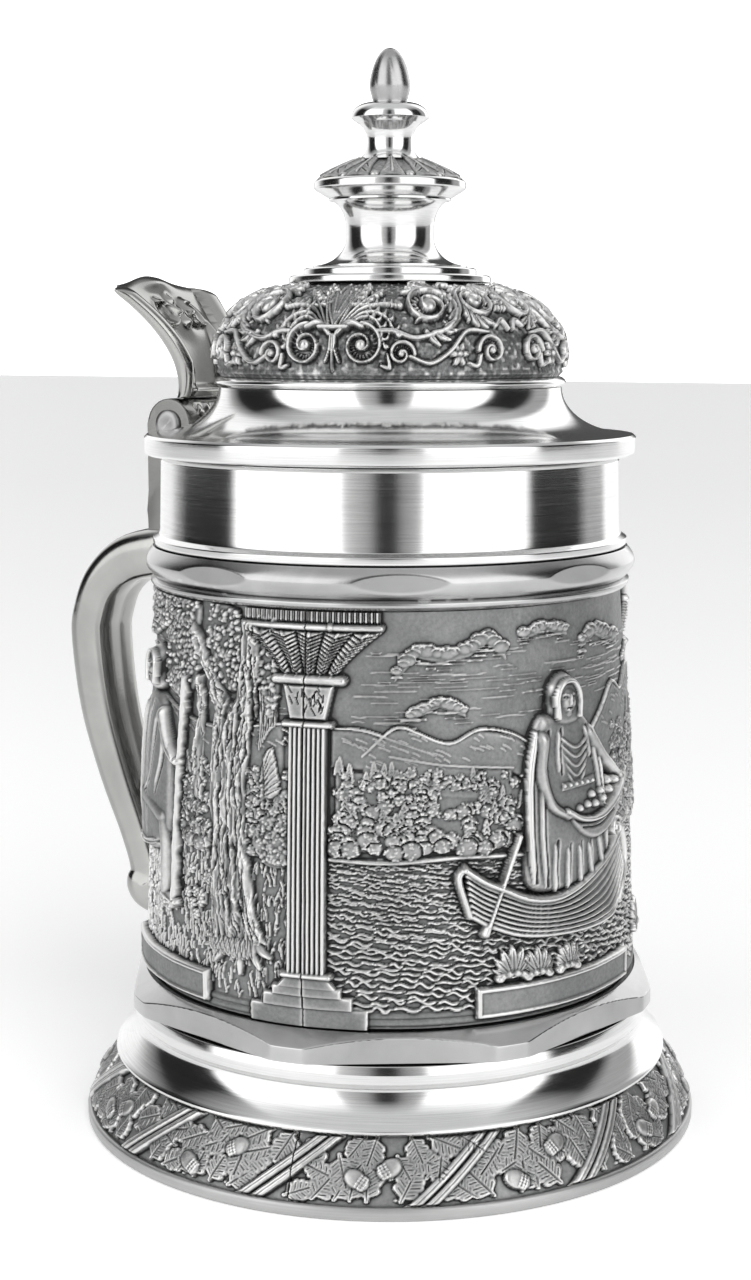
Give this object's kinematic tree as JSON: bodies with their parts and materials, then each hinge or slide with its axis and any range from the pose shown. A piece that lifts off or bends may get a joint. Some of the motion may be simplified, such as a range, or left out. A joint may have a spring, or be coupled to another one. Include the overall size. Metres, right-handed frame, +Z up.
{
  "type": "lidded tankard",
  "caption": "Lidded relief-cast pewter tankard with a turned neck and foot, strap handle, domed lid on a knuckle hinge, thumb lift and stacked finial.",
  "frame": {"origin": "on the resting surface, under the middle of the object's box; the vessel's own axis stands 6.9 mm towards +X from it", "axes": "+Z up through the finial, handle and hinge along -X, the side opposite the handle along +X"},
  "size_m": [0.1338, 0.12, 0.2044],
  "materials": {
    "polished_pewter": "turned and polished pewter with fine circumferential tool marks",
    "relief_pewter": "cast relief, antiqued: dark recesses and rubbed bright ridges",
    "satin_pewter": "smooth satin cast pewter, faintly olive grey",
    "inner_pewter": "plain turned interior, matt",
    "pin_metal": "drawn hinge pin and bolt stock"
  },
  "bodies": {
    "vessel": {"foot_casting": "relief_pewter", "foot_band": "polished_pewter", "lower_collar": "polished_pewter", "vessel_floor": "inner_pewter", "body_sleeve": "relief_pewter", "upper_collar": "polished_pewter", "neck_band": "polished_pewter", "handle": "satin_pewter", "hinge_post": "satin_pewter", "hinge_pin": "pin_metal"},
    "lid": {"lid_hinge_leaf": "satin_pewter", "thumb_lift": "satin_pewter", "lid_flange": "polished_pewter", "lid_seat_ring": "inner_pewter", "dome_bead": "polished_pewter", "lid_dome": "relief_pewter", "finial_steps": "polished_pewter", "finial_stem": "polished_pewter", "finial_disc": "relief_pewter", "finial_neck": "polished_pewter", "finial_cap": "polished_pewter", "finial_bud": "relief_pewter", "finial_bolt": "pin_metal"}
  },
  "joints": [
    {"name": "lid_hinge", "type": "hinge", "parent": "vessel", "child": "lid", "pos_m": [-0.0366, 0, 0.134], "axis": [0, -1, 0], "range_deg": [0, 100]}
  ]
}
